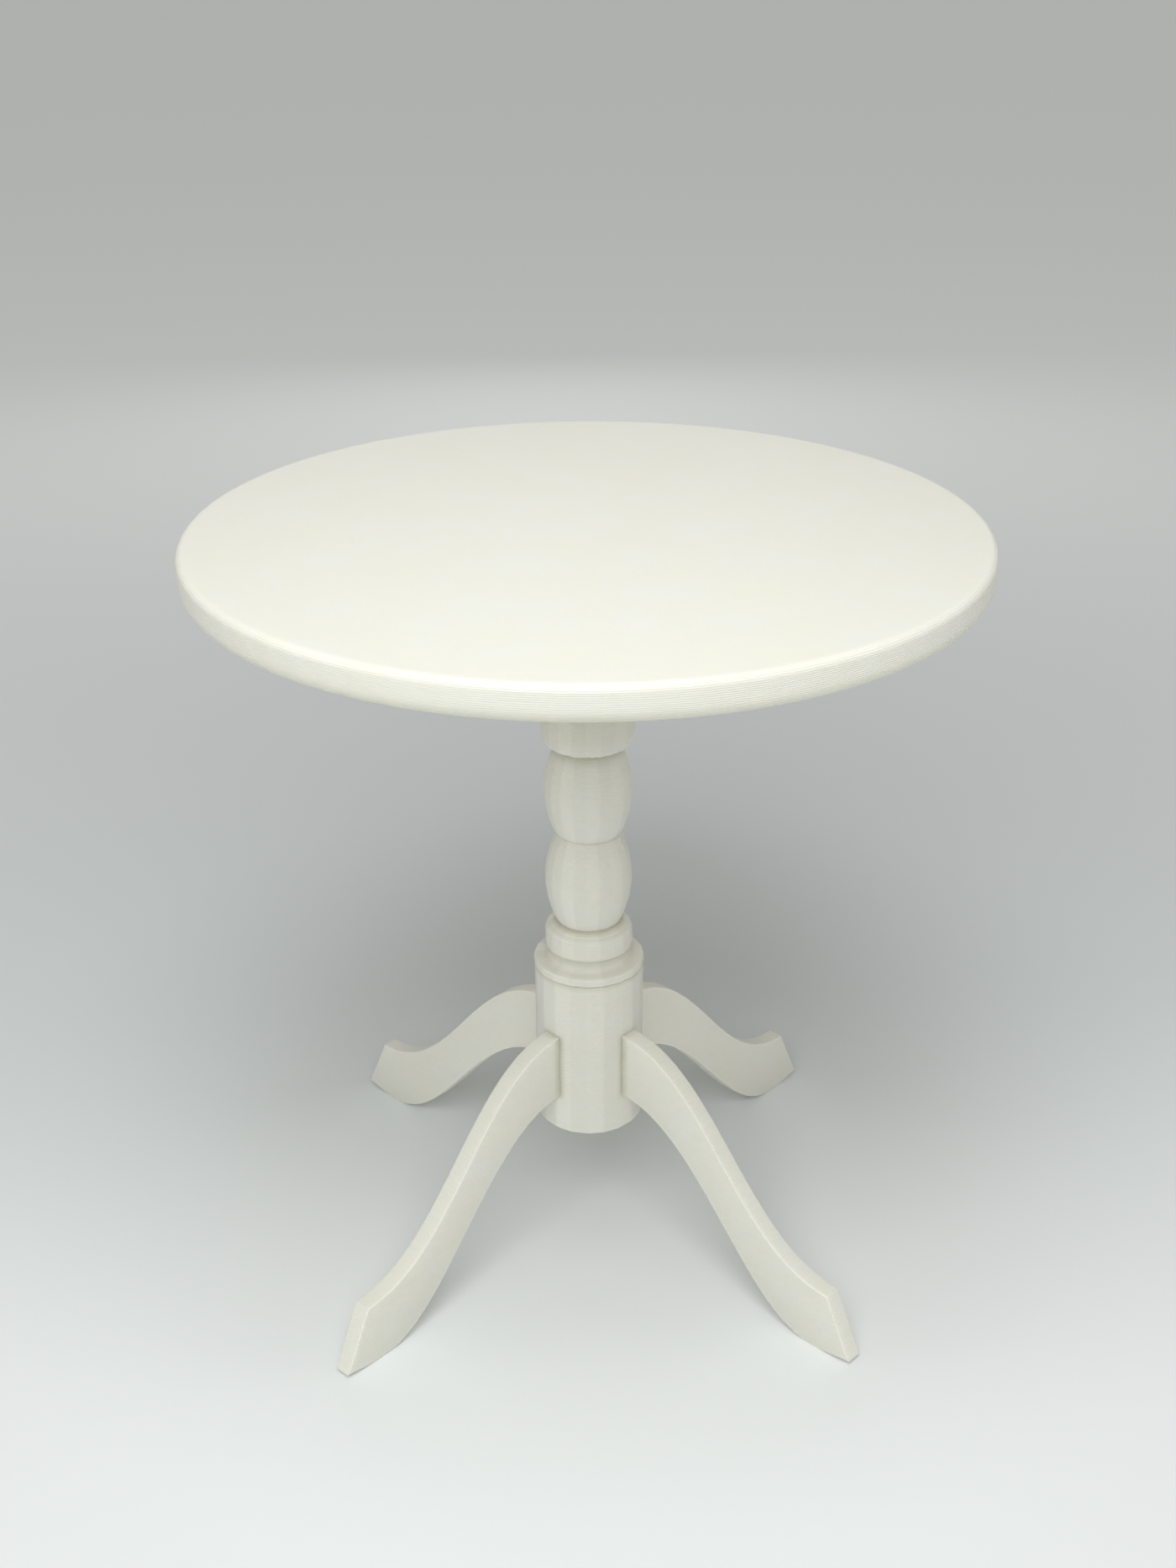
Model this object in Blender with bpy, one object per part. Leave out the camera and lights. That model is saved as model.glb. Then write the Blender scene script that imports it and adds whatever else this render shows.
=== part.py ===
"""A one-twelfth scale round pedestal table for a dolls house, as an assembly of eight printed pieces.

A round top stands on a collar, a turned column and a hub, and four curved legs are tenoned into the hub.
Metres, +Z up. The origin is on the floor, on the axis of the column.
"""

import math

import bmesh
import bpy
from mathutils import Vector

MM = 0.001

# Overall sizes
TABLE_HEIGHT = 62.5 * MM
TOP_DIAMETER = 60.0 * MM
FOOT_SPREAD = 57.0 * MM
HUB_CLEARANCE = 10.85 * MM

# Fits: a spigot or a tenon is this much smaller all round than its hole, and seats this far from its face
FIT = 0.12 * MM
SEAT_GAP = 0.25 * MM

# Top
TOP_THICKNESS = 2.75 * MM
TOP_UPPER_ROUND = 0.4 * MM
TOP_LOWER_ROUND = 0.65 * MM

# Collar under the top
COLLAR_DIAMETER = 7.4 * MM
COLLAR_LIP_INSET = 0.42 * MM
COLLAR_LIP_RISE = 0.8 * MM
COLLAR_SPIGOT_DIAMETER = 4.8 * MM
COLLAR_SPIGOT_LENGTH = 1.2 * MM

# Column, from the hub upwards
LOWER_SPIGOT_DIAMETER = 4.8 * MM
LOWER_SPIGOT_LENGTH = 4.5 * MM
FLANGE_OVERHANG = 0.05 * MM
FLANGE_EDGE = 0.35 * MM
FLANGE_ROUND = 0.2 * MM
FLANGE_LEDGE = 0.57 * MM
COVE_HEIGHT = 1.1 * MM
COVE_DEPTH = 0.25 * MM
BEAD_DIAMETER = 7.14 * MM
BEAD_SIDE = 1.25 * MM
BEAD_ROUND_RISE = 0.55 * MM
BEAD_ROUND_INSET = 0.25 * MM
BEAD_LEDGE_RISE = 0.45 * MM
VASE_DIAMETER = 7.04 * MM
VASE_BOW = 8.7 * MM
LOWER_VASE_LENGTH = 8.05 * MM
LOWER_VASE_GIRTH = 3.9 * MM
UPPER_VASE_LENGTH = 7.4 * MM
UPPER_VASE_GIRTH = 3.7 * MM
UPPER_SPIGOT_DIAMETER = 3.8 * MM
UPPER_SPIGOT_LENGTH = 2.6 * MM

# Hub
HUB_DIAMETER = 8.95 * MM
HUB_HEIGHT = 14.4 * MM
HUB_CHAMFER = 0.3 * MM
MORTISE_WALL = 0.4 * MM

# Legs: each is a flat blade, and its two long edges are S-curves that leave the hub and reach the foot level
LEG_AZIMUTHS = {
    "leg_front_left": 225.0,
    "leg_front_right": 315.0,
    "leg_back_left": 135.0,
    "leg_back_right": 45.0,
}
LEG_THICKNESS = 1.5 * MM
LEG_ROOT_TOP = 20.1 * MM
LEG_ROOT_DEPTH = 5.8 * MM
LEG_UPPER_HANDLES = (8.8 * MM, 9.2 * MM)
LEG_LOWER_HANDLES = (8.2 * MM, 6.5 * MM)
TOE_HEIGHT = 5.55 * MM
TOE_RAKE = 2.45 * MM
TOE_LIFT = 0.4 * MM
SOLE_LAND = 1.4 * MM
SOLE_TO_TOE = 2.7 * MM
LEG_EDGE_ROUND = 0.15 * MM

# Smoothness: EASE_MIDDLE is where an eased edge's middle corner lies, as a share of its round
EASE_MIDDLE = 1 - math.sqrt(0.5)
TOP_SEGMENTS = 72
TURNED_SEGMENTS = 40
ARC_STEPS = 4
CURVE_STEPS = 14
SMOOTH_ANGLE = math.radians(35)

# Worked out from the sizes above
top_radius = TOP_DIAMETER / 2
collar_radius = COLLAR_DIAMETER / 2
collar_spigot_radius = COLLAR_SPIGOT_DIAMETER / 2
lower_spigot_radius = LOWER_SPIGOT_DIAMETER / 2
upper_spigot_radius = UPPER_SPIGOT_DIAMETER / 2
hub_radius = HUB_DIAMETER / 2
flange_radius = hub_radius + FLANGE_OVERHANG
bead_radius = BEAD_DIAMETER / 2
vase_radius = VASE_DIAMETER / 2

hub_top = HUB_CLEARANCE + HUB_HEIGHT
flange_base = hub_top + SEAT_GAP
cove_base = flange_base + FLANGE_EDGE + FLANGE_ROUND
bead_base = cove_base + COVE_HEIGHT
lower_vase_base = bead_base + BEAD_SIDE + BEAD_ROUND_RISE + BEAD_LEDGE_RISE
upper_vase_base = lower_vase_base + LOWER_VASE_LENGTH
column_shoulder = upper_vase_base + UPPER_VASE_LENGTH
collar_base = column_shoulder + SEAT_GAP
top_underside = TABLE_HEIGHT - TOP_THICKNESS
collar_top = top_underside - SEAT_GAP

mortise_end = lower_spigot_radius + FIT + MORTISE_WALL
tenon_end = mortise_end + SEAT_GAP
leg_root_bottom = LEG_ROOT_TOP - LEG_ROOT_DEPTH
toe_radius = FOOT_SPREAD / 2


def clear_scene():
    for old in list(bpy.data.objects):
        bpy.data.objects.remove(old, do_unlink=True)


def printed_plastic(name, colour, roughness):
    """Matte printed plastic."""
    material = bpy.data.materials.new(name)
    material.use_nodes = True
    shader = material.node_tree.nodes["Principled BSDF"]
    shader.inputs["Base Color"].default_value = (*colour, 1.0)
    shader.inputs["Roughness"].default_value = roughness
    shader.inputs["Metallic"].default_value = 0.0
    return material


def add_object(name, bm, material):
    """Turn a bmesh into a named object, with its faces pointing out and its round sides shaded smooth."""
    bmesh.ops.recalc_face_normals(bm, faces=bm.faces)
    mesh = bpy.data.meshes.new(name)
    bm.to_mesh(mesh)
    bm.free()
    mesh.materials.append(material)
    mesh.shade_smooth()
    mesh.set_sharp_from_angle(angle=SMOOTH_ANGLE)
    obj = bpy.data.objects.new(name, mesh)
    bpy.context.scene.collection.objects.link(obj)
    return obj


def quarter_round(start, end, bulge_at_start):
    """Points after start up to end on a quarter ellipse: it leaves start upright or, if not, level."""
    points = []
    for step in range(1, ARC_STEPS + 1):
        angle = math.pi / 2 * step / ARC_STEPS
        level = 1 - math.cos(angle) if bulge_at_start else math.sin(angle)
        upright = math.sin(angle) if bulge_at_start else 1 - math.cos(angle)
        points.append((start[0] + (end[0] - start[0]) * level, start[1] + (end[1] - start[1]) * upright))
    return points


def vase_points(base, length, girth):
    """A bowed barrel: girth is the height of its widest place over its base."""
    points = []
    for step in range(2 * ARC_STEPS + 1):
        height = length * step / (2 * ARC_STEPS)
        drop = VASE_BOW - math.sqrt(VASE_BOW**2 - (height - girth) ** 2)
        points.append((vase_radius - drop, base + height))
    return points


def turned(name, profile, segments, material):
    """Turn a profile of (radius, height) points, which starts and ends on the axis, into a closed solid."""
    bm = bmesh.new()
    rings = []
    for radius, height in profile:
        if radius == 0:
            rings.append([bm.verts.new((0, 0, height))] * segments)
            continue
        angles = [2 * math.pi * index / segments for index in range(segments)]
        rings.append([bm.verts.new((radius * math.cos(a), radius * math.sin(a), height)) for a in angles])
    for low, high in zip(rings, rings[1:]):
        for index in range(segments):
            following = (index + 1) % segments
            corners = (low[index], low[following], high[following], high[index])
            bm.faces.new(list(dict.fromkeys(corners)))
    return add_object(name, bm, material)


def make_tabletop():
    recess_radius = collar_spigot_radius + FIT
    recess_floor = collar_top + COLLAR_SPIGOT_LENGTH + SEAT_GAP
    lower_start = (top_radius - TOP_LOWER_ROUND, top_underside)
    upper_start = (top_radius, TABLE_HEIGHT - TOP_UPPER_ROUND)
    profile = [(0, recess_floor), (recess_radius, recess_floor), (recess_radius, top_underside)]
    profile += [lower_start]
    profile += quarter_round(lower_start, (top_radius, top_underside + TOP_LOWER_ROUND), False)
    profile += [upper_start]
    profile += quarter_round(upper_start, (top_radius - TOP_UPPER_ROUND, TABLE_HEIGHT), True)
    profile += [(0, TABLE_HEIGHT)]
    material = printed_plastic("tabletop_print", (0.87, 0.86, 0.78), 0.5)
    return turned("tabletop", profile, TOP_SEGMENTS, material)


def make_top_collar():
    socket_radius = upper_spigot_radius + FIT
    socket_end = column_shoulder + UPPER_SPIGOT_LENGTH + SEAT_GAP
    lip_start = (collar_radius - COLLAR_LIP_INSET, collar_base)
    profile = [(0, socket_end), (socket_radius, socket_end), (socket_radius, collar_base), lip_start]
    profile += quarter_round(lip_start, (collar_radius, collar_base + COLLAR_LIP_RISE), False)
    profile += [(collar_radius, collar_top), (collar_spigot_radius, collar_top)]
    profile += [(collar_spigot_radius, collar_top + COLLAR_SPIGOT_LENGTH)]
    profile += [(0, collar_top + COLLAR_SPIGOT_LENGTH)]
    material = printed_plastic("collar_print", (0.80, 0.79, 0.70), 0.55)
    return turned("top_collar", profile, TURNED_SEGMENTS, material)


def make_column():
    spigot_base = flange_base - LOWER_SPIGOT_LENGTH
    spigot_top = column_shoulder + UPPER_SPIGOT_LENGTH
    flange_side = (flange_radius, flange_base + FLANGE_EDGE)
    flange_crest = (flange_radius - FLANGE_ROUND, cove_base)
    cove_foot = (flange_radius - FLANGE_ROUND - FLANGE_LEDGE, cove_base)
    bead_side_top = (bead_radius, bead_base + BEAD_SIDE)
    bead_crest = (bead_radius - BEAD_ROUND_INSET, bead_base + BEAD_SIDE + BEAD_ROUND_RISE)
    profile = [(0, spigot_base), (lower_spigot_radius, spigot_base), (lower_spigot_radius, flange_base)]
    profile += [(flange_radius, flange_base), flange_side]
    profile += quarter_round(flange_side, flange_crest, True)
    profile += [cove_foot]
    profile += quarter_round(cove_foot, (bead_radius - COVE_DEPTH, bead_base), False)
    profile += [(bead_radius, bead_base), bead_side_top]
    profile += quarter_round(bead_side_top, bead_crest, True)
    profile += vase_points(lower_vase_base, LOWER_VASE_LENGTH, LOWER_VASE_GIRTH)
    profile += vase_points(upper_vase_base, UPPER_VASE_LENGTH, UPPER_VASE_GIRTH)
    profile += [(upper_spigot_radius, column_shoulder), (upper_spigot_radius, spigot_top), (0, spigot_top)]
    material = printed_plastic("column_print", (0.80, 0.79, 0.70), 0.55)
    return turned("column", profile, TURNED_SEGMENTS, material)


def mortise_cutter(name, azimuth):
    """A box along one leg's azimuth that reaches from the mortise's end out past the hub's side."""
    outer = hub_radius + LEG_THICKNESS
    low = Vector((mortise_end, -LEG_THICKNESS / 2 - FIT, leg_root_bottom - FIT))
    high = Vector((outer, LEG_THICKNESS / 2 + FIT, LEG_ROOT_TOP + FIT))
    bm = bmesh.new()
    bmesh.ops.create_cube(bm, size=1.0)
    bmesh.ops.scale(bm, vec=high - low, verts=bm.verts)
    bmesh.ops.translate(bm, vec=(low + high) / 2, verts=bm.verts)
    mesh = bpy.data.meshes.new(name)
    bm.to_mesh(mesh)
    bm.free()
    cutter = bpy.data.objects.new(name, mesh)
    bpy.context.scene.collection.objects.link(cutter)
    cutter.rotation_euler.z = math.radians(azimuth)
    cutter.display_type = "WIRE"
    cutter.hide_render = True
    return cutter


def make_hub():
    socket_radius = lower_spigot_radius + FIT
    socket_floor = flange_base - LOWER_SPIGOT_LENGTH - SEAT_GAP
    rim_start = (hub_radius - HUB_CHAMFER, HUB_CLEARANCE)
    profile = [(0, HUB_CLEARANCE), rim_start, (hub_radius, HUB_CLEARANCE + HUB_CHAMFER)]
    profile += [(hub_radius, hub_top), (socket_radius, hub_top), (socket_radius, socket_floor), (0, socket_floor)]
    material = printed_plastic("hub_print", (0.83, 0.82, 0.74), 0.55)
    hub = turned("hub", profile, TURNED_SEGMENTS, material)
    for leg_name, azimuth in LEG_AZIMUTHS.items():
        cutter = mortise_cutter(leg_name.replace("leg", "mortise"), azimuth)
        cut = hub.modifiers.new(cutter.name, "BOOLEAN")
        cut.operation = "DIFFERENCE"
        cut.solver = "EXACT"
        cut.object = cutter
    return hub


def s_curve(start, end, handles):
    """Points from start to end on a cubic curve that is level at both ends."""
    first = Vector((start[0] + handles[0], start[1]))
    second = Vector((end[0] - handles[1], end[1]))
    points = []
    for step in range(CURVE_STEPS + 1):
        t = step / CURVE_STEPS
        s = 1 - t
        point = s**3 * Vector(start) + 3 * s * s * t * first + 3 * s * t * t * second + t**3 * Vector(end)
        points.append(tuple(point))
    return points


def leg_outline():
    """The blade's side view as (distance from the axis, height) points."""
    land_end = toe_radius - SOLE_TO_TOE
    land_start = land_end - SOLE_LAND
    upper = s_curve((hub_radius, LEG_ROOT_TOP), (toe_radius - TOE_RAKE, TOE_HEIGHT), LEG_UPPER_HANDLES)
    lower = s_curve((hub_radius, leg_root_bottom), (land_start, 0), LEG_LOWER_HANDLES)
    tenon_top = (tenon_end, LEG_ROOT_TOP)
    tenon_bottom = (tenon_end, leg_root_bottom)
    toe_tip = (toe_radius, TOE_LIFT)
    return [tenon_bottom] + lower + [(land_end, 0), toe_tip] + upper[::-1] + [tenon_top]


def eased_inwards(outline):
    """For each corner of the outline, the direction into the blade, or none where the edge is left sharp."""
    inwards = []
    for index, (x, z) in enumerate(outline):
        before, after = outline[index - 1], outline[(index + 1) % len(outline)]
        run = Vector((after[0] - before[0], after[1] - before[1])).normalized()
        sharp = x <= hub_radius or z < TOE_LIFT / 2
        inwards.append(Vector((0, 0)) if sharp else Vector((-run.y, run.x)))
    return inwards


def make_legs():
    """Four legs of one shape, each turned about the column's axis to its azimuth."""
    outline = leg_outline()
    inwards = eased_inwards(outline)
    half = LEG_THICKNESS / 2
    eased = [(half - LEG_EDGE_ROUND, 0), (half - LEG_EDGE_ROUND * EASE_MIDDLE, LEG_EDGE_ROUND * EASE_MIDDLE)]
    eased.append((half, LEG_EDGE_ROUND))
    levels = [(-y, inset) for y, inset in reversed(eased)] + eased
    bm = bmesh.new()
    rings = []
    for y, inset in levels:
        rings.append([bm.verts.new((x + i.x * inset, y, z + i.y * inset)) for (x, z), i in zip(outline, inwards)])
    for near, far in zip(rings, rings[1:]):
        for index in range(len(outline)):
            before = index - 1
            bm.faces.new((near[before], near[index], far[index], far[before]))
    bm.faces.new(rings[0])
    bm.faces.new(rings[-1])
    material = printed_plastic("leg_print", (0.86, 0.85, 0.78), 0.5)
    names = list(LEG_AZIMUTHS)
    first = add_object(names[0], bm, material)
    legs = [first] + [bpy.data.objects.new(name, first.data) for name in names[1:]]
    for leg, azimuth in zip(legs, LEG_AZIMUTHS.values()):
        if leg is not first:
            bpy.context.scene.collection.objects.link(leg)
        leg.rotation_euler.z = math.radians(azimuth)
    return legs


def build_table():
    clear_scene()
    table = bpy.data.objects.new("table", None)
    bpy.context.scene.collection.objects.link(table)
    pieces = [make_tabletop(), make_top_collar(), make_column(), make_hub()] + make_legs()
    for piece in pieces:
        piece.parent = table


build_table()
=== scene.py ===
import math

import bmesh
import bpy
from mathutils import Matrix, Vector


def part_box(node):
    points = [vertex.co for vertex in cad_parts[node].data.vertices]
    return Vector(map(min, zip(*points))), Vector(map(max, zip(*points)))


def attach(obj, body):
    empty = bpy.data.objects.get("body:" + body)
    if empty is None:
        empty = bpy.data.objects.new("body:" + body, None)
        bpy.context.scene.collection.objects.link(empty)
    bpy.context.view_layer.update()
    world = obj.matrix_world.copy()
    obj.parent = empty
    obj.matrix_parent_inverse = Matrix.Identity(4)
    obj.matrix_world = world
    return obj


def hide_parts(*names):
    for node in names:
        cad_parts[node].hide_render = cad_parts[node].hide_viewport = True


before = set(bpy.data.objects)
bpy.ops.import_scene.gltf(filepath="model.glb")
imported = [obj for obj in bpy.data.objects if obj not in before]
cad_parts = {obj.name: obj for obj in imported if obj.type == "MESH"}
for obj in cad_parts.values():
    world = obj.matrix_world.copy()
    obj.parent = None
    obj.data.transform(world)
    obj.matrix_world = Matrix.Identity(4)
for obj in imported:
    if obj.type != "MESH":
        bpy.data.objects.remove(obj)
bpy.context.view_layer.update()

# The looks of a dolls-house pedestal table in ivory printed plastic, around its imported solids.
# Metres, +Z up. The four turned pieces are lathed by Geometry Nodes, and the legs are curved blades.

MM = 0.001

# ---------------------------------------------------------------------------------------------------------------
# Node trees


def add_node(tree, kind, settings=None, sockets=None, out=0):
    """Add a node: its settings first, then the value or the link of each socket. Returns its output as a Wire."""
    node = tree.nodes.new(kind)
    for name, value in (settings or {}).items():
        setattr(node, name, value)
    for key, value in (sockets or {}).items():
        many = value if isinstance(value, list) else [value]
        for one in many:
            if isinstance(one, Wire):
                tree.links.new(one.socket, node.inputs[key])
            else:
                node.inputs[key].default_value = one
    return Wire(node.outputs[out])


class Wire:
    """An output socket that is used like a number: each operator adds the Math node that works it out."""

    def __init__(self, socket):
        self.socket = socket
        self.tree = socket.id_data

    def maths(self, operation, *terms):
        values = dict(enumerate((self, *terms)))
        return add_node(self.tree, "ShaderNodeMath", {"operation": operation}, values)

    def turned_round(self, operation, term):
        return add_node(self.tree, "ShaderNodeMath", {"operation": operation}, {0: term, 1: self})

    def output(self, name):
        return Wire(self.socket.node.outputs[name])

    def __add__(self, term):
        return self.maths("ADD", term)

    def __radd__(self, term):
        return self.turned_round("ADD", term)

    def __sub__(self, term):
        return self.maths("SUBTRACT", term)

    def __rsub__(self, term):
        return self.turned_round("SUBTRACT", term)

    def __mul__(self, term):
        return self.maths("MULTIPLY", term)

    def __rmul__(self, term):
        return self.turned_round("MULTIPLY", term)

    def __truediv__(self, term):
        return self.maths("DIVIDE", term)

    def __rtruediv__(self, term):
        return self.turned_round("DIVIDE", term)


def between(value, low, high):
    """0 where the value is at low, 1 where it is at high, with a smooth step."""
    sockets = {"Value": value, "From Min": low, "From Max": high}
    return add_node(value.tree, "ShaderNodeMapRange", {"interpolation_type": "SMOOTHSTEP"}, sockets)


# ---------------------------------------------------------------------------------------------------------------
# Printed plastic

IVORY = (0.86, 0.85, 0.765)
IVORY_WARM = (0.875, 0.845, 0.735)
IVORY_PALE = (0.885, 0.885, 0.83)
IVORY_HIGHLIGHT = (0.93, 0.925, 0.86)
IVORY_SHADED = tuple(channel * 0.62 for channel in IVORY)
OLIVE_SHADE = (0.50, 0.49, 0.33)
MOTTLE_CONTRAST = 1.6
PLAIN_SHARE = 0.55
LAYER_SHADE, STREAK_SHADE, GROOVE_PAINTED_SHADE = 0.03, 0.02, 0.015

# Relief, in mm
LAYER_PITCH = 0.15
LAYER_WANDER = 0.05
LAYER_DEPTH = 0.0075
GRAIN_DEPTH = 0.006
DRIFT_DEPTH = 0.03
STREAK_DEPTH = 0.008
INFILL_PITCH = 0.56
INFILL_WANDER = 0.15

GRAIN_ROUGHNESS, STREAK_ROUGHNESS = 0.10, 0.06
PLASTIC_IOR = 1.46
SCATTER_SHARE = 0.25
SCATTER_COLOUR = (1.0, 0.9, 0.62)
SCATTER_REACH = 0.5


def tint(tree, factor, colour, other):
    """Mix two colours, each a tuple or a Wire."""
    settings = {"data_type": "RGBA", "clamp_factor": True}
    ends = {6: colour, 7: other}
    for key, value in ends.items():
        if not isinstance(value, Wire):
            ends[key] = (*value, 1)
    return add_node(tree, "ShaderNodeMix", settings, {0: factor, **ends}, out=2)


def printed_plastic(name, roughness=0.5, crevice_shade=None, seed=0.0, infill=0.0, facet_painted_shade=0.0, edge_painted_highlight=0.0):
    """Ivory plastic laid down in thin level layers: faint lines with painted shade in their grooves, a little
    mottling, and painted olive shade where it is deep set.

    crevice_shade takes (tree, x, y, z) in mm and returns how much painted shade each deep-set place gets, from 0 to
    1.
    infill is how high the slanting lines of a top layer stand, facet_painted_shade how much painted shade the facets
    get, and edge_painted_highlight how strong the painted highlight on the rounded edges is.
    """
    material = bpy.data.materials.new(name)
    material.use_nodes = True
    tree = material.node_tree
    shader = tree.nodes["Principled BSDF"]

    place = add_node(tree, "ShaderNodeTexCoord").output("Object")
    mm = add_node(tree, "ShaderNodeVectorMath", {"operation": "SCALE"}, {0: place, "Scale": 1 / MM})
    axes = add_node(tree, "ShaderNodeSeparateXYZ", None, {0: mm})
    x, y, z = (axes.output(axis) for axis in "XYZ")

    def noise(scale, detail=2.0, stretch=(1, 1, 1)):
        """Noise of that many ripples per mm, centred on 0."""
        settings = {"vector_type": "POINT"}
        sockets = {"Vector": mm, "Scale": stretch, "Location": (seed, 2 * seed, 3 * seed)}
        moved = add_node(tree, "ShaderNodeMapping", settings, sockets)
        grey = add_node(tree, "ShaderNodeTexNoise", None, {"Vector": moved, "Scale": scale, "Detail": detail})
        return grey - 0.5

    drift = noise(0.45)
    layer = (z + drift * LAYER_WANDER) / LAYER_PITCH
    number = layer.maths("FLOOR")
    ridge = (layer * (2 * math.pi)).maths("SINE")
    shade_of_layer = add_node(tree, "ShaderNodeTexWhiteNoise", {"noise_dimensions": "1D"}, {"W": number})
    mottle = noise(0.22)
    grain = noise(7.0, 3.0)
    streak = noise(1.1, 2.0, (1, 1, 4.0))

    colour = tint(tree, 0.5 + mottle * MOTTLE_CONTRAST, IVORY_WARM, IVORY_PALE)
    colour = tint(tree, PLAIN_SHARE, colour, IVORY)
    # The ridge term is painted shade in the grooves between layers; the layer and streak terms are the plastic's own
    # tone.
    darker = LAYER_SHADE * shade_of_layer + STREAK_SHADE * (0.5 + streak) + GROOVE_PAINTED_SHADE * (0.5 - 0.5 * ridge)
    colour = tint(tree, darker, colour, IVORY_SHADED)
    # Painted olive shade in deep-set places: creases, grooves, joints and under the tabletop.
    if crevice_shade:
        colour = tint(tree, crevice_shade(tree, x, y, z) * (0.85 + mottle), colour, OLIVE_SHADE)
    # Painted shade on the facets: each is darkened by its seeded random amount.
    if facet_painted_shade:
        tone = add_node(tree, "ShaderNodeAttribute", {"attribute_name": "tone"}, out=2)
        colour = tint(tree, tone * facet_painted_shade, colour, IVORY_SHADED)

    # Painted highlight on the rounded edges.
    if edge_painted_highlight:
        edge = add_node(tree, "ShaderNodeAttribute", {"attribute_name": "edge"}, out=2)
        colour = tint(tree, edge * edge_painted_highlight, colour, IVORY_HIGHLIGHT)

    height = ridge * LAYER_DEPTH + grain * GRAIN_DEPTH + drift * DRIFT_DEPTH + streak * STREAK_DEPTH
    if infill:
        lines = ((x + y + noise(0.6) * INFILL_WANDER) * (2 * math.pi / INFILL_PITCH)).maths("SINE")
        height = height + lines * infill
    bump = add_node(tree, "ShaderNodeBump", None, {"Height": height * MM, "Strength": 1.0, "Distance": 1.0})
    rough = roughness + grain * GRAIN_ROUGHNESS + streak * STREAK_ROUGHNESS

    tree.links.new(colour.socket, shader.inputs["Base Color"])
    tree.links.new(rough.socket, shader.inputs["Roughness"])
    tree.links.new(bump.socket, shader.inputs["Normal"])
    shader.inputs["IOR"].default_value = PLASTIC_IOR
    shader.inputs["Subsurface Weight"].default_value = SCATTER_SHARE
    shader.inputs["Subsurface Radius"].default_value = SCATTER_COLOUR
    shader.inputs["Subsurface Scale"].default_value = SCATTER_REACH * MM
    return material


def ring_of(x, y):
    """Distance from the column's axis."""
    return (x * x + y * y).maths("SQRT")


def band(z, centre, half):
    """1 at that height, fading to 0 at half a band above and below."""
    return 1 - between((z - centre).maths("ABSOLUTE"), 0.0, half)


# ---------------------------------------------------------------------------------------------------------------
# Turned pieces

FACETS = 20
FACET_TURN = math.radians(-93.8)
STEPS_PER_FACET = 6
COLLAR_STEPS_PER_FACET = 12
# Painted shade on the facets, standing in for light falling unevenly on them; the seed picks which facets are darker.
FACET_PAINTED_SHADE = 0.26
FACET_SHADE_SEED = 2618.0
RAG_SIZE = 1700.0
WALL_RAG = 0.02
SEAM_WIDTH = 0.0005
TURNED_SHARP = math.radians(40)
BLADE_SHARP = math.radians(50)


def new_tree(name, inputs):
    """A Geometry Nodes tree with a geometry going in and out, and these named inputs: (name, socket type)."""
    tree = bpy.data.node_groups.new(name, "GeometryNodeTree")
    tree.interface.new_socket("Geometry", in_out="INPUT", socket_type="NodeSocketGeometry")
    for label, kind in inputs:
        tree.interface.new_socket(label, in_out="INPUT", socket_type=kind)
    tree.interface.new_socket("Geometry", in_out="OUTPUT", socket_type="NodeSocketGeometry")
    entry = add_node(tree, "NodeGroupInput")
    return tree, {socket.name: Wire(socket) for socket in entry.socket.node.outputs if socket.name}


def finish_tree(tree, geometry, material):
    plain = add_node(tree, "GeometryNodeRealizeInstances", None, {0: geometry})
    done = add_node(tree, "GeometryNodeSetMaterial", None, {"Geometry": plain, "Material": material})
    add_exit = tree.nodes.new("NodeGroupOutput")
    tree.links.new(done.socket, add_exit.inputs[0])


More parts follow.
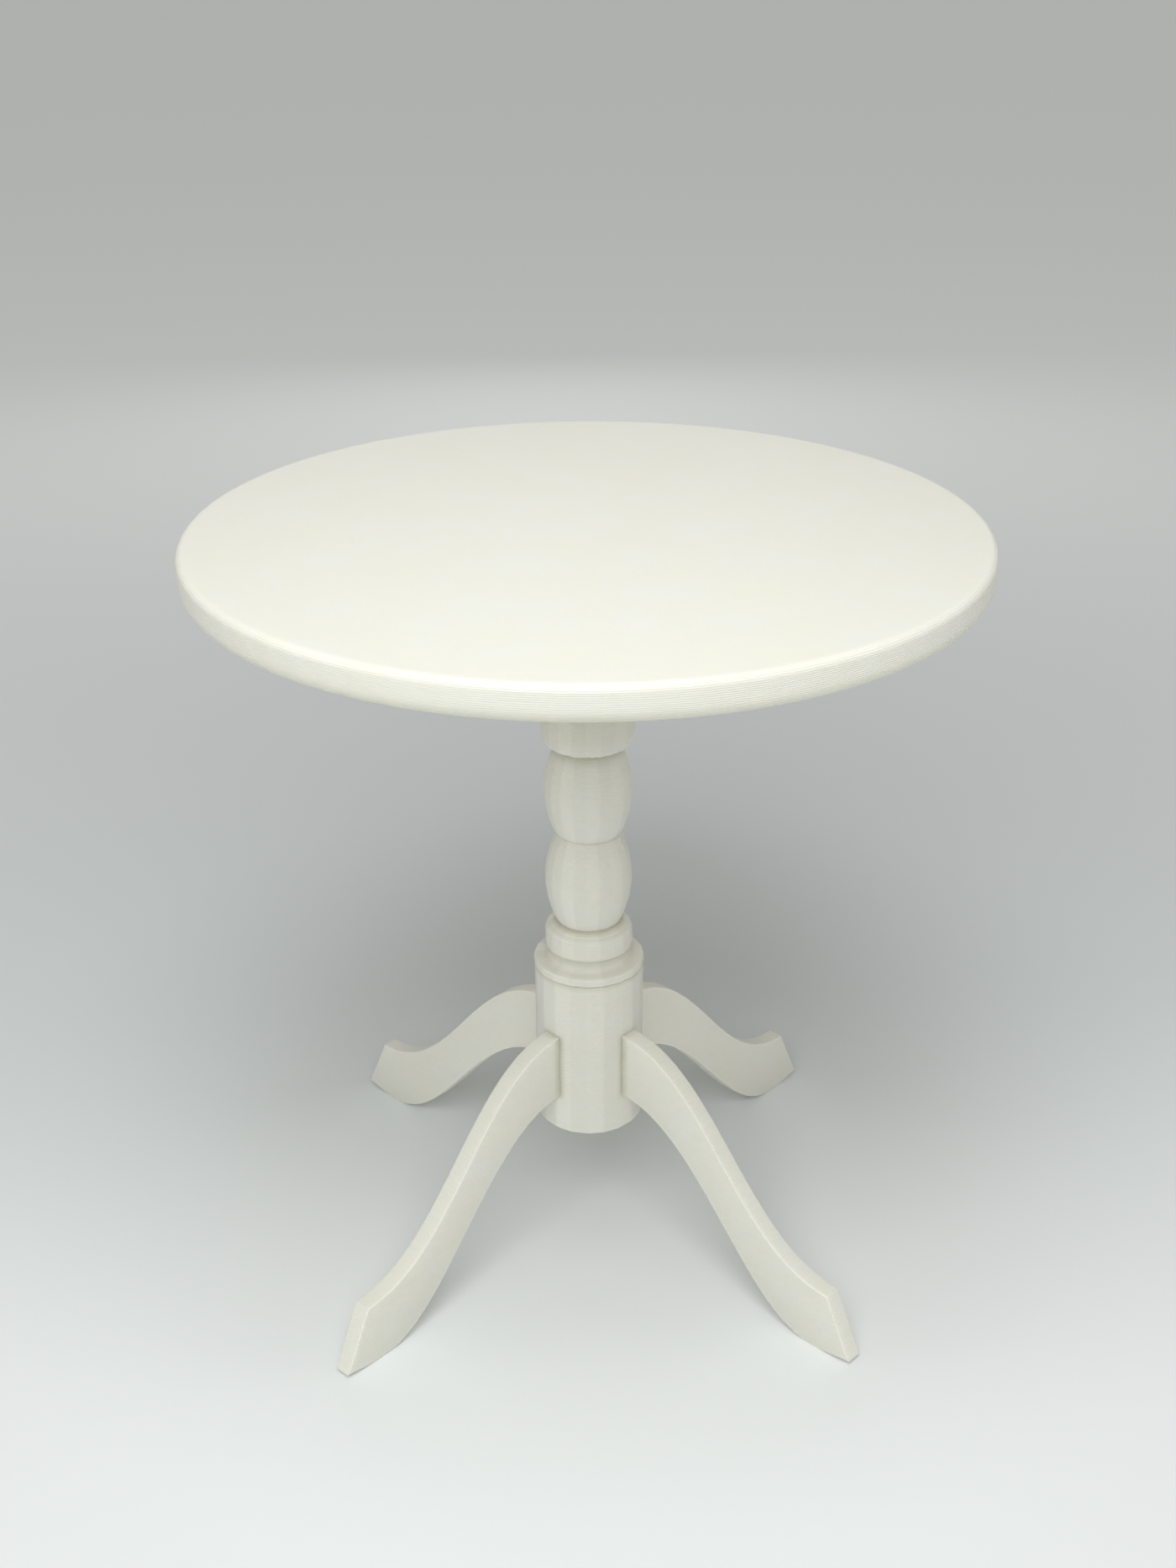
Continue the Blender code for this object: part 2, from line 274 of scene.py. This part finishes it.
def lathe_tree():
    """Turns a profile, whose points are (radius, 0, height), round the axis with soft upright facets.

    The profile's own "rag" attribute says how far in the print is ragged at each point. Each facet gets a seeded
    random value from 0 to 1, for the painted shade on the facets.
    """
    inputs = [("Steps", "NodeSocketInt"), ("Facets", "NodeSocketInt"), ("Facet Turn", "NodeSocketFloat")]
    inputs += [("Rag Size", "NodeSocketFloat"), ("Facet Shade Seed", "NodeSocketFloat"), ("Material", "NodeSocketMaterial")]
    tree, given = new_tree("lathe", inputs)
    profile = given["Geometry"]
    steps, facets = given["Steps"], given["Facets"]

    count = add_node(tree, "GeometryNodeAttributeDomainSize", {"component": "MESH"}, {0: profile})
    sockets = {"Vertices X": steps + 1, "Vertices Y": count, "Size X": 1.0, "Size Y": 1.0}
    grid = add_node(tree, "GeometryNodeMeshGrid", None, sockets)

    index = add_node(tree, "GeometryNodeInputIndex")
    ring = ((index + 0.5) / count).maths("FLOOR")
    step = index - ring * count
    read = {"data_type": "FLOAT_VECTOR", "domain": "POINT"}
    position = add_node(tree, "GeometryNodeInputPosition")
    point = add_node(tree, "GeometryNodeSampleIndex", read, {"Geometry": profile, "Value": position, "Index": step})
    axes = add_node(tree, "ShaderNodeSeparateXYZ", None, {0: point})
    radius, height = axes.output("X"), axes.output("Z")
    read = {"data_type": "FLOAT", "domain": "POINT"}
    rag = add_node(tree, "GeometryNodeInputNamedAttribute", {"data_type": "FLOAT"}, {"Name": "rag"})
    rag = add_node(tree, "GeometryNodeSampleIndex", read, {"Geometry": profile, "Value": rag, "Index": step})

    angle = ring / steps * (2 * math.pi)
    facet = (2 * math.pi) / facets
    along = (angle - given["Facet Turn"] + 8 * math.pi) / facet
    off_centre = (along - along.maths("FLOOR") - 0.5) * facet
    flat = (facet * 0.5).maths("COSINE") / off_centre.maths("COSINE")
    radius = radius * flat

    cosine, sine = angle.maths("COSINE"), angle.maths("SINE")
    spot = add_node(tree, "ShaderNodeCombineXYZ", None, {0: radius * cosine, 1: radius * sine, 2: height})
    sockets = {"Vector": spot, "Scale": given["Rag Size"], "Detail": 2.0}
    ragged = add_node(tree, "ShaderNodeTexNoise", {"noise_dimensions": "3D"}, sockets)
    radius = radius - ragged * rag
    sockets = {0: radius * cosine, 1: radius * sine, 2: height + ragged * rag}
    place = add_node(tree, "ShaderNodeCombineXYZ", None, sockets)
    turned = add_node(tree, "GeometryNodeSetPosition", None, {"Geometry": grid.output("Mesh"), "Position": place})
    # A seeded random value for each facet, which the material uses for painted shade on the facets.
    number = along.maths("FLOOR").maths("MODULO", facets)
    tone = add_node(tree, "ShaderNodeTexWhiteNoise", {"noise_dimensions": "1D"}, {"W": number + given["Facet Shade Seed"]})
    settings = {"data_type": "FLOAT", "domain": "POINT"}
    sockets = {"Geometry": turned, "Name": "tone", "Value": tone}
    toned = add_node(tree, "GeometryNodeStoreNamedAttribute", settings, sockets)
    closed = add_node(tree, "GeometryNodeMergeByDistance", None, {"Geometry": toned, "Distance": SEAM_WIDTH * MM})
    finish_tree(tree, closed, given["Material"])
    return tree


def mortise_tree():
    """Cuts one upright mortise for each leg into a hub."""
    inputs = [("Legs", "NodeSocketInt"), ("First Turn", "NodeSocketFloat"), ("Size", "NodeSocketVector")]
    inputs += [("Centre", "NodeSocketVector"), ("Material", "NodeSocketMaterial")]
    tree, given = new_tree("mortises", inputs)
    box = add_node(tree, "GeometryNodeMeshCube", None, {"Size": given["Size"]}).output("Mesh")
    box = add_node(tree, "GeometryNodeTransform", None, {"Geometry": box, "Translation": given["Centre"]})
    spots = add_node(tree, "GeometryNodePoints", None, {"Count": given["Legs"], "Position": (0.0, 0.0, 0.0)})
    turn = add_node(tree, "GeometryNodeInputIndex") * ((2 * math.pi) / given["Legs"]) + given["First Turn"]
    turn = add_node(tree, "ShaderNodeCombineXYZ", None, {2: turn})
    boxes = add_node(tree, "GeometryNodeInstanceOnPoints", None, {"Points": spots, "Instance": box, "Rotation": turn})
    boxes = add_node(tree, "GeometryNodeRealizeInstances", None, {0: boxes})
    settings = {"operation": "DIFFERENCE", "solver": "EXACT"}
    cut = add_node(tree, "GeometryNodeMeshBoolean", settings, {"Mesh 1": given["Geometry"], "Mesh 2": boxes})
    finish_tree(tree, cut, given["Material"])
    return tree


def grown(name, source, trees, material):
    """The plain mesh that a source mesh grows into through (tree, values) pairs, as one finished object."""
    seed = bpy.data.objects.new(name + "_profile", source)
    bpy.context.scene.collection.objects.link(seed)
    for tree, values in trees:
        modifier = seed.modifiers.new(tree.name, "NODES")
        modifier.node_group = tree
        sockets = {item.name: item.identifier for item in tree.interface.items_tree if item.in_out == "INPUT"}
        for label, value in {**values, "Material": material}.items():
            modifier[sockets[label]] = value
    graph = bpy.context.evaluated_depsgraph_get()
    mesh = bpy.data.meshes.new_from_object(seed.evaluated_get(graph))
    seed.modifiers.clear()
    bpy.data.objects.remove(seed)
    return finished(name, mesh, material, TURNED_SHARP)


def finished(name, mesh, material, sharp):
    mesh.name = name
    mesh.materials.clear()
    mesh.materials.append(material)
    mesh.shade_smooth()
    mesh.set_sharp_from_angle(angle=sharp)
    piece = bpy.data.objects.new(name, mesh)
    bpy.context.scene.collection.objects.link(piece)
    return piece


SHORTEST_STEP = 0.002


class Profile:
    """A profile drawn point by point from the foot of the axis outwards and up. Sizes are in mm."""

    def __init__(self, height):
        self.points = [(0.0, height, 0.0)]

    def here(self):
        return self.points[-1][:2]

    def line(self, radius, height, pieces=1, rag=0.0):
        r, h = self.here()
        for step in range(1, pieces + 1):
            share = step / pieces
            self.points.append((r + (radius - r) * share, h + (height - h) * share, rag))
        return self

    def arc(self, radius, height, level_first, pieces=6, rag=0.0):
        """A quarter ellipse that leaves level or upright."""
        r, h = self.here()
        for step in range(1, pieces + 1):
            angle = math.pi / 2 * step / pieces
            slow, fast = 1 - math.cos(angle), math.sin(angle)
            level, upright = (fast, slow) if level_first else (slow, fast)
            self.points.append((r + (radius - r) * level, h + (height - h) * upright, rag))
        return self

    def bow(self, widest, girth, curve, end, pieces=24, rag=0.0):
        """A bowed barrel from here up to height end: widest is its largest radius, at height girth."""
        start = self.here()[1]
        for step in range(pieces + 1):
            height = start + (end - start) * step / pieces
            drop = curve - math.sqrt(curve**2 - (height - girth) ** 2)
            self.points.append((widest - drop, height, rag))
        return self

    def mesh(self, name):
        kept = [p for p, q in zip(self.points, self.points[1:]) if math.dist(p[:2], q[:2]) > SHORTEST_STEP]
        kept.append(self.points[-1])
        mesh = bpy.data.meshes.new(name)
        edges = [(index, index + 1) for index in range(len(kept) - 1)]
        mesh.from_pydata([(r * MM, 0, h * MM) for r, h, _ in kept], edges, [])
        rag = mesh.attributes.new("rag", "FLOAT", "POINT")
        rag.data.foreach_set("value", [amount * MM for _, _, amount in kept])
        return mesh


def node_mm(node):
    """Lowest and highest height and the radius of a CAD node, in mm."""
    low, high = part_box(node)
    return low.z / MM, high.z / MM, max(high.x, high.y) / MM


lathe = lathe_tree()

# Clearances, in mm: round a spigot, past its end, and round a leg where it enters the hub
FIT = 0.12
SEAT_GAP = 0.25
SNUG = 0.025


def lathe_values(facets=FACETS, steps_per_facet=STEPS_PER_FACET, turn=FACET_TURN):
    values = {"Steps": facets * steps_per_facet, "Facets": facets, "Facet Turn": turn}
    return {**values, "Rag Size": RAG_SIZE, "Facet Shade Seed": FACET_SHADE_SEED}


# Top
collar_low, collar_high, collar_radius = node_mm("top_collar")
top_low, top_high, top_radius = node_mm("tabletop")
column_low, column_high, flange_radius = node_mm("column")
hub_low, hub_high, hub_radius = node_mm("hub")

# (radius, length) of each spigot, in mm
COLLAR_SPIGOT = (2.4, 1.2)
LOWER_SPIGOT = (2.4, 4.5)
UPPER_SPIGOT = (1.9, 2.6)

TOP_UPPER_ROUND = 0.6
TOP_LOWER_ROUND = 0.95
TOP_FACETS = 72
TOP_STEPS_PER_FACET = 4
INFILL_HEIGHT = 0.0006


def make_tabletop():
    recess_radius = COLLAR_SPIGOT[0] + FIT
    recess_floor = collar_high + SEAT_GAP
    shape = Profile(recess_floor).line(recess_radius, recess_floor, 2).line(recess_radius, top_low)
    shape.line(recess_radius + 0.15, top_low).line(top_radius - TOP_LOWER_ROUND, top_low, 10)
    shape.arc(top_radius, top_low + TOP_LOWER_ROUND, True, 8)
    shape.line(top_radius, top_high - TOP_UPPER_ROUND, 4)
    shape.arc(top_radius - TOP_UPPER_ROUND, top_high, False, 8)
    shape.line(top_radius - 0.8, top_high).line(1.0, top_high, 10).line(0.0, top_high)
    material = printed_plastic("tabletop_print", seed=3.0, infill=INFILL_HEIGHT, crevice_shade=shade_under_top)
    values = lathe_values(TOP_FACETS, TOP_STEPS_PER_FACET, 0.0)
    return grown("tabletop_disc", shape.mesh("tabletop_profile"), [(lathe, values)], material)


def shade_under_top(tree, x, y, z):
    """Painted shade round the collar, on the underside, and low on the rim."""
    below = 1 - between(z, top_low + 0.05, top_low + 0.4)
    near = 1 - between(ring_of(x, y), collar_radius - 0.2, collar_radius + 1.6)
    rim = (1 - between(z, top_low, top_low + 1.5)) * between(ring_of(x, y), top_radius - 1.2, top_radius - 0.8)
    return below * near * 0.5 + rim * 0.3


COLLAR_LIP_INSET = 0.42
COLLAR_LIP_RISE = 0.8
COLLAR_LIP_RAG = 0.34
COLLAR_ROUND_RAG = 0.12


def make_collar():
    spigot_radius, spigot_length = COLLAR_SPIGOT
    shoulder = collar_high - spigot_length
    socket_radius = UPPER_SPIGOT[0] + FIT
    socket_end = column_high + SEAT_GAP
    lip = collar_radius - COLLAR_LIP_INSET
    shape = Profile(socket_end).line(socket_radius, socket_end, 2).line(socket_radius, collar_low, 4)
    shape.line(lip - 0.05, collar_low, 4, rag=COLLAR_LIP_RAG)
    shape.arc(collar_radius, collar_low + COLLAR_LIP_RISE, True, 10, rag=COLLAR_ROUND_RAG)
    shape.line(collar_radius, shoulder - 0.15, 60, rag=WALL_RAG)
    shape.line(collar_radius - 0.15, shoulder, 2).line(spigot_radius, shoulder, 2)
    shape.line(spigot_radius, collar_high, 2).line(0.0, collar_high, 2)
    material = printed_plastic("collar_print", facet_painted_shade=FACET_PAINTED_SHADE, seed=7.0, crevice_shade=shade_by_collar_ends)
    values = lathe_values(steps_per_facet=COLLAR_STEPS_PER_FACET)
    return grown("top_collar_ring", shape.mesh("collar_profile"), [(lathe, values)], material)


def shade_by_collar_ends(tree, x, y, z):
    """Painted shade under the lip, and more and more towards the top, where the tabletop shades the collar."""
    return band(z, collar_low - 0.1, 0.5) * 0.45 + between(z, collar_low - 0.5, collar_low + 4.0) * 0.3


# Column, from the hub up
FLANGE_DROP = 0.17
FLANGE_FOOT_ROUND = 0.1
FLANGE_EDGE = 0.35
FLANGE_ROUND = 0.2
FLANGE_LEDGE = 0.57
COVE_HEIGHT = 1.1
BEAD_RADIUS = 3.57
BEAD_SIDE = 1.25
BEAD_ROUND_INSET = 0.25
BEAD_ROUND_RISE = 0.55
BEAD_LEDGE_RISE = 0.45
BEAD_LEDGE_END = 0.95
VASE_RADIUS = 3.52
VASE_BOW = 8.7
LOWER_VASE_GIRTH = 3.9
UPPER_VASE_LENGTH = 7.4
UPPER_VASE_GIRTH = 3.7


def make_column():
    flange_base = column_low + LOWER_SPIGOT[1]
    flange_foot = flange_base - FLANGE_DROP
    flange_inset = flange_radius - FLANGE_FOOT_ROUND
    ledge = flange_base + FLANGE_EDGE + FLANGE_ROUND
    bead_base = ledge + COVE_HEIGHT
    bead_side_top = bead_base + BEAD_SIDE
    bead_top = bead_side_top + BEAD_ROUND_RISE
    vase_base = bead_top + BEAD_LEDGE_RISE
    shoulder = column_high - UPPER_SPIGOT[1]
    neck = shoulder - UPPER_VASE_LENGTH

    shape = Profile(column_low).line(LOWER_SPIGOT[0], column_low, 2).line(LOWER_SPIGOT[0], flange_base, 4)
    shape.line(LOWER_SPIGOT[0] + 0.3, flange_foot, 2).line(flange_inset, flange_foot, 4)
    shape.arc(flange_radius, flange_foot + FLANGE_FOOT_ROUND, True, 4, rag=WALL_RAG)
    shape.line(flange_radius, flange_base + FLANGE_EDGE, 4, rag=WALL_RAG)
    shape.arc(flange_radius - FLANGE_ROUND, ledge, False, 6, rag=WALL_RAG)
    shape.line(flange_radius - FLANGE_ROUND - FLANGE_LEDGE, ledge + 0.02, 4, rag=WALL_RAG)
    shape.arc(BEAD_RADIUS - BEAD_ROUND_INSET, bead_base, True, 8, rag=WALL_RAG)
    shape.line(BEAD_RADIUS - 0.08, bead_base + 0.02, 2).arc(BEAD_RADIUS, bead_base + 0.1, True, 4)
    shape.line(BEAD_RADIUS, bead_side_top, 10, rag=WALL_RAG)
    shape.arc(BEAD_RADIUS - BEAD_ROUND_INSET, bead_top, False, 10, rag=WALL_RAG)
    shape.line(BEAD_RADIUS - BEAD_LEDGE_END, vase_base, 6, rag=WALL_RAG)
    shape.bow(VASE_RADIUS, vase_base + LOWER_VASE_GIRTH, VASE_BOW, neck, 44, rag=WALL_RAG)
    shape.bow(VASE_RADIUS, neck + UPPER_VASE_GIRTH, VASE_BOW, shoulder, 40, rag=WALL_RAG)
    shape.line(UPPER_SPIGOT[0], shoulder, 3).line(UPPER_SPIGOT[0], column_high, 3).line(0.0, column_high, 2)

    # Painted shade in the column's grooves: (height, reach up and down, strength)
    groove_shades = [(bead_base - 0.25, 0.6, 0.45), (vase_base, 0.32, 0.7), (neck, 0.4, 0.2), (shoulder + 0.2, 1.1, 0.5)]

    def shade_in_grooves(tree, x, y, z):
        return sum(band(z, height, reach) * strength for height, reach, strength in groove_shades)

    material = printed_plastic("column_print", facet_painted_shade=FACET_PAINTED_SHADE, seed=11.0, crevice_shade=shade_in_grooves)
    return grown("column_turning", shape.mesh("column_profile"), [(lathe, lathe_values())], material)


# Legs
LEG_TURNS = {"leg_front_left": 225, "leg_front_right": 315, "leg_back_left": 135, "leg_back_right": 45}
LEG_THICKNESS = 1.5
TENON_END = 3.17
ROOT_TOP, ROOT_BOTTOM = 20.1, 14.3
UPPER_CURVE = ((hub_radius, ROOT_TOP), (26.05, 5.55), (8.8, 9.2))
LOWER_CURVE = ((hub_radius, ROOT_BOTTOM), (24.4, 0.0), (8.2, 6.5))
SOLE_END = (25.8, 0.0)
TOE = (28.5, 0.4)
CURVE_STEPS = 44
EDGE_ROUND = 0.15
EDGE_STEPS = 5
# Painted highlight on the legs' rounded edges.
EDGE_PAINTED_HIGHLIGHT = 0.5
EDGE_FADE = 0.8
LEAST_LEAN = 0.45
SOLE_HEIGHT, SOLE_SHARE = 0.25, 0.35


def s_curve(start, end, handles):
    """Points from start to end on a cubic curve that is level at both ends."""
    first, last = Vector(start), Vector(end)
    points = [first, first + Vector((handles[0], 0)), last - Vector((handles[1], 0)), last]
    drawn = []
    for step in range(CURVE_STEPS + 1):
        t = step / CURVE_STEPS
        weights = ((1 - t) ** 3, 3 * t * (1 - t) ** 2, 3 * t * t * (1 - t), t**3)
        drawn.append(sum((w * p for w, p in zip(weights, points)), Vector((0, 0))))
    return drawn


def straight(start, end, pieces):
    start, end = Vector(start), Vector(end)
    return [start.lerp(end, step / pieces) for step in range(1, pieces)]


def leg_outline():
    """The blade's side view, from the tenon's foot out along the sole and back along the top."""
    lower, upper = s_curve(*LOWER_CURVE), s_curve(*UPPER_CURVE)
    outline = [Vector((TENON_END, ROOT_BOTTOM))] + lower
    outline += straight(lower[-1], SOLE_END, 3) + [Vector(SOLE_END)] + straight(SOLE_END, TOE, 4) + [Vector(TOE)]
    outline += straight(TOE, upper[-1], 8) + upper[::-1] + [Vector((TENON_END, ROOT_TOP))]
    return outline


def easing(outline):
    """For each outline point, the direction into the blade, as long as that edge's round is wide."""
    pulls = []
    for index, point in enumerate(outline):
        before = (point - outline[index - 1]).normalized()
        after = (outline[(index + 1) % len(outline)] - point).normalized()
        normal = Vector((-(before + after).y, (before + after).x)).normalized()
        lean = max(LEAST_LEAN, normal.dot(Vector((-before.y, before.x))))
        out = min(1.0, max(0.0, (point.x - hub_radius) / EDGE_FADE))
        on_floor = SOLE_SHARE if point.y < SOLE_HEIGHT else 1.0
        pulls.append(normal * (out * on_floor / lean))
    return pulls


def make_leg(name, turn, material):
    """A flat blade with softly rounded edges, which carries an "edge" attribute on its rounds for a painted
    highlight.
    """
    outline = leg_outline()
    pulls = easing(outline)
    half = LEG_THICKNESS / 2
    levels = []
    for step in range(EDGE_STEPS + 1):
        angle = math.pi / 2 * step / EDGE_STEPS
        levels.append((half - EDGE_ROUND * (1 - math.sin(angle)), EDGE_ROUND * (1 - math.cos(angle))))
    levels = [(-y, inset) for y, inset in reversed(levels)] + levels
    bm = bmesh.new()
    edge = bm.verts.layers.float.new("edge")
    rings = []
    for y, inset in levels:
        ring = []
        for point, pull in zip(outline, pulls):
            spot = point + pull * inset
            vert = bm.verts.new((spot.x * MM, y * MM, spot.y * MM))
            vert[edge] = min(1.0, pull.length) * math.sin(math.pi * min(1.0, inset / EDGE_ROUND))
            ring.append(vert)
        rings.append(ring)
    for near, far in zip(rings, rings[1:]):
        for index in range(len(outline)):
            bm.faces.new((near[index - 1], near[index], far[index], far[index - 1]))
    bm.faces.new(rings[0])
    bm.faces.new(rings[-1])
    bmesh.ops.recalc_face_normals(bm, faces=bm.faces)
    bmesh.ops.transform(bm, matrix=Matrix.Rotation(math.radians(turn), 4, "Z"), verts=bm.verts)
    mesh = bpy.data.meshes.new(name)
    bm.to_mesh(mesh)
    bm.free()
    return finished(name, mesh, material, BLADE_SHARP)


def shade_by_leg_roots(tree, x, y, z):
    """Painted shade where the legs meet the hub, where they are deep set."""
    near = 1 - between(ring_of(x, y), hub_radius + 0.05, hub_radius + 0.75)
    level = between(z, ROOT_BOTTOM - 0.6, ROOT_BOTTOM + 0.2) * (1 - between(z, ROOT_TOP - 0.3, ROOT_TOP + 0.5))
    return near * level * 0.5


def shade_on_hub_by_legs(tree, x, y, z):
    """Painted shade on the hub's strips beside the four legs, and on its rim under the flange."""
    diagonal = (x.maths("ABSOLUTE") - y.maths("ABSOLUTE")).maths("ABSOLUTE") * math.sqrt(0.5)
    beside = 1 - between(diagonal, LEG_THICKNESS / 2, LEG_THICKNESS / 2 + 0.55)
    level = between(z, ROOT_BOTTOM - 0.4, ROOT_BOTTOM + 0.4) * (1 - between(z, ROOT_TOP - 0.3, ROOT_TOP + 0.5))
    return beside * level * 0.6 + band(z, hub_high, 0.5) * 0.4


HUB_CHAMFER = 0.3
HUB_RIM = 0.12


def make_hub():
    socket_radius = LOWER_SPIGOT[0] + FIT
    socket_floor = column_low - SEAT_GAP
    shape = Profile(hub_low).line(hub_radius - HUB_CHAMFER, hub_low, 4).line(hub_radius, hub_low + HUB_CHAMFER, 3)
    shape.line(hub_radius, hub_high - HUB_RIM, 60, rag=WALL_RAG).line(hub_radius - HUB_RIM, hub_high, 2)
    shape.line(socket_radius, hub_high, 3).line(socket_radius, socket_floor, 3).line(0.0, socket_floor, 2)
    material = printed_plastic("hub_print", facet_painted_shade=FACET_PAINTED_SHADE, seed=19.0, crevice_shade=shade_on_hub_by_legs)
    inner = TENON_END - SEAT_GAP
    outer = hub_radius + LEG_THICKNESS
    size = Vector((outer - inner, LEG_THICKNESS + 2 * SNUG, ROOT_TOP - ROOT_BOTTOM + 2 * SNUG)) * MM
    centre = Vector(((outer + inner) / 2, 0, (ROOT_TOP + ROOT_BOTTOM) / 2)) * MM
    cuts = {"Legs": len(LEG_TURNS), "First Turn": math.radians(45), "Size": size, "Centre": centre}
    trees = [(lathe, lathe_values()), (mortise_tree(), cuts)]
    return grown("hub_turning", shape.mesh("hub_profile"), trees, material)


# ---------------------------------------------------------------------------------------------------------------
# Floor, light and camera


FLOOR_REACH = 3.0
FLOOR_PALE = (0.89, 0.91, 0.915)
FLOOR_SHADE_BEHIND = (0.73, 0.765, 0.77)
FLOOR_FAR = (0.78, 0.80, 0.805)
FLOOR_GLOW = (0.94, 0.99, 0.985)
FLOOR_GLOW_STRENGTH = 0.24
FLOOR_ROUGHNESS = 0.75


def make_floor():
    """A wide floor, palest in front of the table, with painted shade behind it, and faintly lit of itself far off."""
    corners = [(-FLOOR_REACH, -FLOOR_REACH, 0), (FLOOR_REACH, -FLOOR_REACH, 0)]
    corners += [(FLOOR_REACH, FLOOR_REACH, 0), (-FLOOR_REACH, FLOOR_REACH, 0)]
    mesh = bpy.data.meshes.new("floor")
    mesh.from_pydata(corners, [], [(0, 1, 2, 3)])
    material = bpy.data.materials.new("pale_floor")
    material.use_nodes = True
    tree = material.node_tree
    shader = tree.nodes["Principled BSDF"]
    place = add_node(tree, "ShaderNodeTexCoord").output("Object")
    axes = add_node(tree, "ShaderNodeSeparateXYZ", None, {0: place})
    far = ring_of(axes.output("X"), axes.output("Y"))
    mottle = add_node(tree, "ShaderNodeTexNoise", None, {"Vector": place, "Scale": 9.0, "Detail": 2.0})
    # Painted shade on the floor behind the table.
    behind = between(axes.output("Y") + (mottle - 0.5) * 0.02, -0.03, 0.04)
    colour = tint(tree, behind, FLOOR_PALE, FLOOR_SHADE_BEHIND)
    colour = tint(tree, between(far, 0.05, 0.25), colour, FLOOR_FAR)
    glow = tint(tree, between(far, 0.02, 0.3), (0.0, 0.0, 0.0), FLOOR_GLOW)
    tree.links.new(colour.socket, shader.inputs["Base Color"])
    tree.links.new(glow.socket, shader.inputs["Emission Color"])
    shader.inputs["Emission Strength"].default_value = FLOOR_GLOW_STRENGTH
    shader.inputs["Roughness"].default_value = FLOOR_ROUGHNESS
    mesh.materials.append(material)
    floor = bpy.data.objects.new("floor", mesh)
    bpy.context.scene.collection.objects.link(floor)


def aim(obj, target):
    obj.rotation_euler = (Vector(target) - obj.location).to_track_quat("-Z", "Y").to_euler()


def softbox(name, place, target, size, watts, colour):
    lamp = bpy.data.lights.new(name, "AREA")
    lamp.shape = "DISK"
    lamp.size = size
    lamp.energy = watts
    lamp.color = colour
    obj = bpy.data.objects.new(name, lamp)
    obj.location = place
    bpy.context.scene.collection.objects.link(obj)
    aim(obj, target)


SKY_COLOUR = (1.0, 0.965, 0.92, 1)
SKY_STRENGTH = 0.25
WARM = (1.0, 0.99, 0.96)

# name: (place, target, diameter, watts, colour)
SOFTBOXES = {
    "front_key": ((-0.025, -0.19, 0.225), (0, 0, 0.03), 0.22, 0.42, (0.965, 1.0, 1.0)),
    "overhead": ((-0.005, -0.05, 0.21), (0, -0.04, 0.0), 0.10, 0.105, (0.97, 1.0, 1.0)),
    "back_fill": ((0.0, 0.28, 0.12), (0, 0, 0.03), 0.16, 0.045, WARM),
    "left_fill": ((-0.28, -0.03, 0.08), (0, 0, 0.02), 0.14, 0.06, WARM),
    "right_fill": ((0.28, -0.03, 0.08), (0, 0, 0.02), 0.14, 0.07, WARM),
}


def light_studio():
    world = bpy.data.worlds.new("studio")
    bpy.context.scene.world = world
    world.use_nodes = True
    sky = world.node_tree.nodes["Background"]
    sky.inputs["Color"].default_value = SKY_COLOUR
    sky.inputs["Strength"].default_value = SKY_STRENGTH
    for name, values in SOFTBOXES.items():
        softbox(name, *values)


# The camera's distance from the axis and its height in mm, its turns in radians, and its lens and sensor in mm
CAMERA_AWAY, CAMERA_HEIGHT = 136.11, 107.47
CAMERA_TURN = 0.0314
CAMERA_PITCH = 0.4519
CAMERA_ROLL = -0.0052
LENS = 44.0889
SENSOR = 36.0


def place_camera():
    """The camera stands in front of the table, a little above the top, and looks down at it."""
    data = bpy.data.cameras.new("camera")
    data.sensor_width = SENSOR
    data.lens = LENS
    data.clip_start, data.clip_end = 0.005, 20.0
    camera = bpy.data.objects.new("camera", data)
    bpy.context.scene.collection.objects.link(camera)
    ahead = Vector((math.sin(CAMERA_TURN), math.cos(CAMERA_TURN), 0))
    camera.location = (Vector((0, 0, CAMERA_HEIGHT)) - CAMERA_AWAY * ahead) * MM
    turn = Matrix.Rotation(-CAMERA_TURN, 4, "Z") @ Matrix.Rotation(math.pi / 2 - CAMERA_PITCH, 4, "X")
    turn = turn @ Matrix.Rotation(CAMERA_ROLL, 4, "Z")
    camera.rotation_euler = turn.to_euler()
    bpy.context.scene.camera = camera


def stand_for(piece, node):
    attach(piece, "root")
    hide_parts(node)


stand_for(make_tabletop(), "tabletop")
stand_for(make_collar(), "top_collar")
stand_for(make_column(), "column")
stand_for(make_hub(), "hub")
# The legs' material has a painted highlight on the rounded edges and painted shade at their roots.
leg_material = printed_plastic("leg_print", edge_painted_highlight=EDGE_PAINTED_HIGHLIGHT, seed=23.0, crevice_shade=shade_by_leg_roots)
for leg_name, leg_turn in LEG_TURNS.items():
    stand_for(make_leg(leg_name + "_blade", leg_turn, leg_material), leg_name)

make_floor()
light_studio()
place_camera()
bpy.context.scene.view_settings.view_transform = "Standard"
